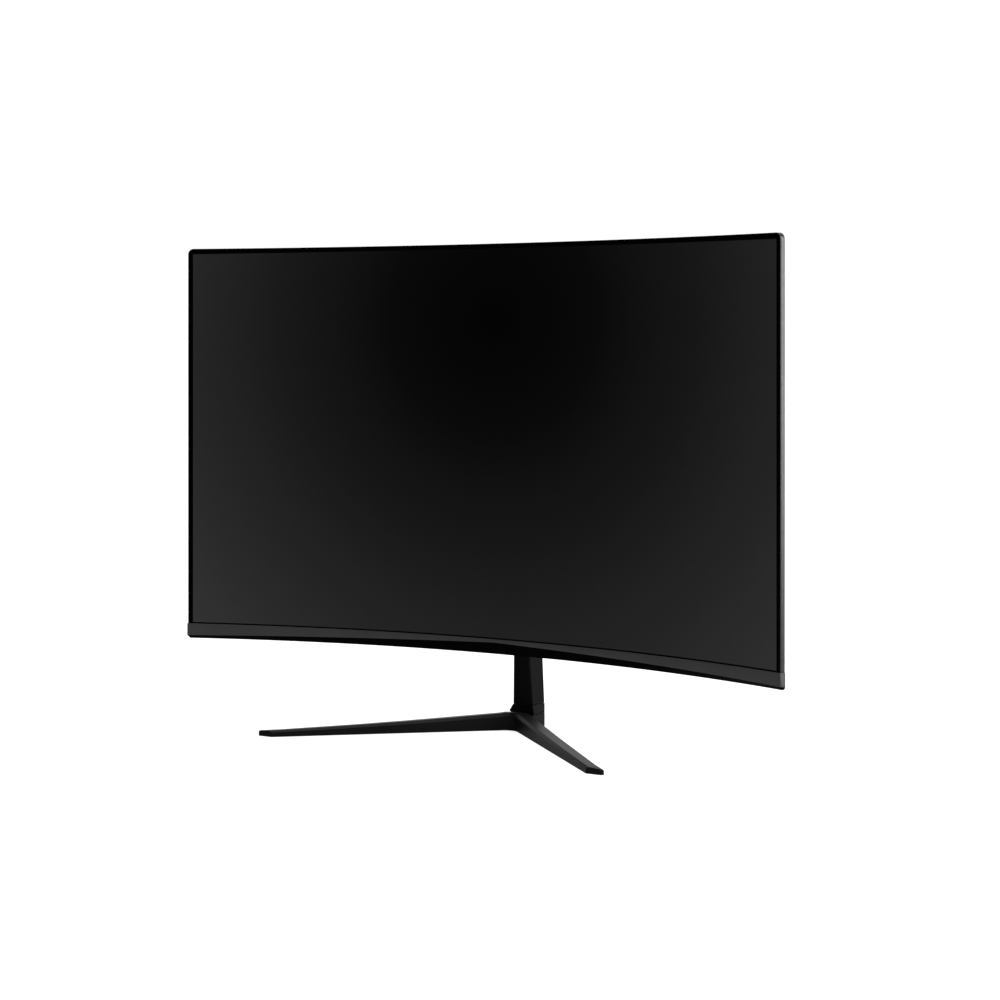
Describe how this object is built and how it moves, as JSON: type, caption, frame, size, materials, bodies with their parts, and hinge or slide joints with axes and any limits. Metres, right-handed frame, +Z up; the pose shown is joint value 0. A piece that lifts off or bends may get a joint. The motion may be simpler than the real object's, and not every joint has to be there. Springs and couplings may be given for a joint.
{
  "type": "computer monitor",
  "caption": "Wide curved desktop monitor with thin black borders, on a slim neck and a V-shaped foot, with a tilting head and a rear joystick control.",
  "frame": {"origin": "centre of the whole object's outline, on the desk plane under the rubber feet", "axes": "+X to the viewer's right along the width of the screen, +Y from the screen towards the rear, +Z up"},
  "size_m": [0.7004, 0.2084, 0.496],
  "materials": {
    "base_metal": "satin black powder coat, fine grain",
    "foot_rubber": "matt black rubber pads",
    "thumbscrew_steel": "zinc-plated steel",
    "neck_plastic": "satin black moulded plastic",
    "inner_steel": "galvanised sheet steel",
    "hinge_black_steel": "black e-coated steel",
    "black_screw": "black zinc-plated screws",
    "hinge_bright_steel": "plated steel",
    "frame_plastic": "dark grey satin moulded frame",
    "chin_plastic": "dark grey satin moulded plastic with a fine grain",
    "status_lens": "smoked diffusing lens",
    "screen_glass": "anti-glare black screen",
    "film_plastic": "milky optical film stack",
    "light_guide_acrylic": "clear acrylic sheet",
    "led_strip_board": "white solder-masked strip",
    "reflector_film": "white reflector film",
    "cover_plastic": "black moulded plastic, fine spark texture",
    "circuit_board": "green solder mask",
    "ribbon_cable": "off-white flat ribbon",
    "socket_plastic": "black moulded socket",
    "socket_metal": "nickel-plated socket shell",
    "speaker_plastic": "black speaker box",
    "joystick_plastic": "black moulded plastic",
    "joystick_metal": "plated steel"
  },
  "bodies": {
    "stand": {"v_base": "base_metal", "foot_left_tip": "foot_rubber", "foot_left_middle": "foot_rubber", "foot_rear": "foot_rubber", "foot_right_middle": "foot_rubber", "foot_right_tip": "foot_rubber", "neck_collar": "neck_plastic", "neck_front_cover": "neck_plastic", "neck_rear_cover": "neck_plastic", "neck_spine": "inner_steel", "neck_screw_lower": "black_screw", "neck_screw_upper": "black_screw", "hinge_fork": "hinge_black_steel", "hinge_pin": "hinge_bright_steel", "friction_washer_left": "hinge_bright_steel", "friction_washer_right": "hinge_bright_steel", "hinge_disc_spring": "hinge_bright_steel", "hinge_nut": "hinge_bright_steel"},
    "thumbscrew": {"base_thumbscrew": "thumbscrew_steel"},
    "head": {"panel_tray": "inner_steel", "board_tray": "inner_steel", "vesa_bracket": "inner_steel", "hinge_plate": "hinge_black_steel", "hinge_screw_1": "black_screw", "hinge_screw_2": "black_screw", "hinge_screw_3": "black_screw", "hinge_screw_4": "black_screw", "cover_screw_1": "black_screw", "cover_screw_2": "black_screw", "cover_screw_3": "black_screw", "cover_screw_4": "black_screw", "cover_screw_5": "black_screw", "cover_screw_6": "black_screw", "front_frame": "frame_plastic", "chin_bezel": "chin_plastic", "status_light_lens": "status_lens", "lcd_panel": "screen_glass", "optical_film": "film_plastic", "light_guide": "light_guide_acrylic", "led_strip": "led_strip_board", "reflector_sheet": "reflector_film", "rear_cover": "cover_plastic", "main_board": "circuit_board", "power_board": "circuit_board", "timing_board": "circuit_board", "joystick_board": "circuit_board", "panel_flat_cable": "ribbon_cable", "dc_inlet": "socket_plastic", "audio_jack": "socket_plastic", "hdmi_port_inner": "socket_metal", "hdmi_port_outer": "socket_metal", "display_port": "socket_metal", "speaker_left": "speaker_plastic", "speaker_right": "speaker_plastic", "joystick_housing": "joystick_plastic"},
    "stick_ring": {"joystick_ring": "joystick_metal"},
    "stick_stem": {"joystick_stem": "joystick_metal"},
    "stick_cap": {"joystick_cap": "joystick_plastic"}
  },
  "joints": [
    {"name": "head_tilt", "type": "hinge", "parent": "stand", "child": "head", "pos_m": [0, 0.09119, 0.252], "axis": [-1, 0, 0], "range_deg": [-5, 20]},
    {"name": "thumbscrew_turn", "type": "hinge", "parent": "stand", "child": "thumbscrew", "pos_m": [0, 0.09219, 0.003], "axis": [0, 0, 1], "continuous": true},
    {"name": "joystick_up_down", "type": "hinge", "parent": "head", "child": "stick_ring", "pos_m": [0.23049, 0.00957, 0.112], "axis": [0.9737, -0.228, 0], "range_deg": [-7, 7], "stiffness_Nm_per_rad": 0.05},
    {"name": "joystick_left_right", "type": "hinge", "parent": "stick_ring", "child": "stick_stem", "pos_m": [0.23049, 0.00957, 0.112], "axis": [0, 0, 1], "range_deg": [-7, 7], "stiffness_Nm_per_rad": 0.05},
    {"name": "joystick_press", "type": "slide", "parent": "stick_stem", "child": "stick_cap", "axis": [-0.228, -0.9737, 0], "range_m": [0, 0.0005], "stiffness_N_per_m": 500, "springref_m": -0.0005}
  ]
}
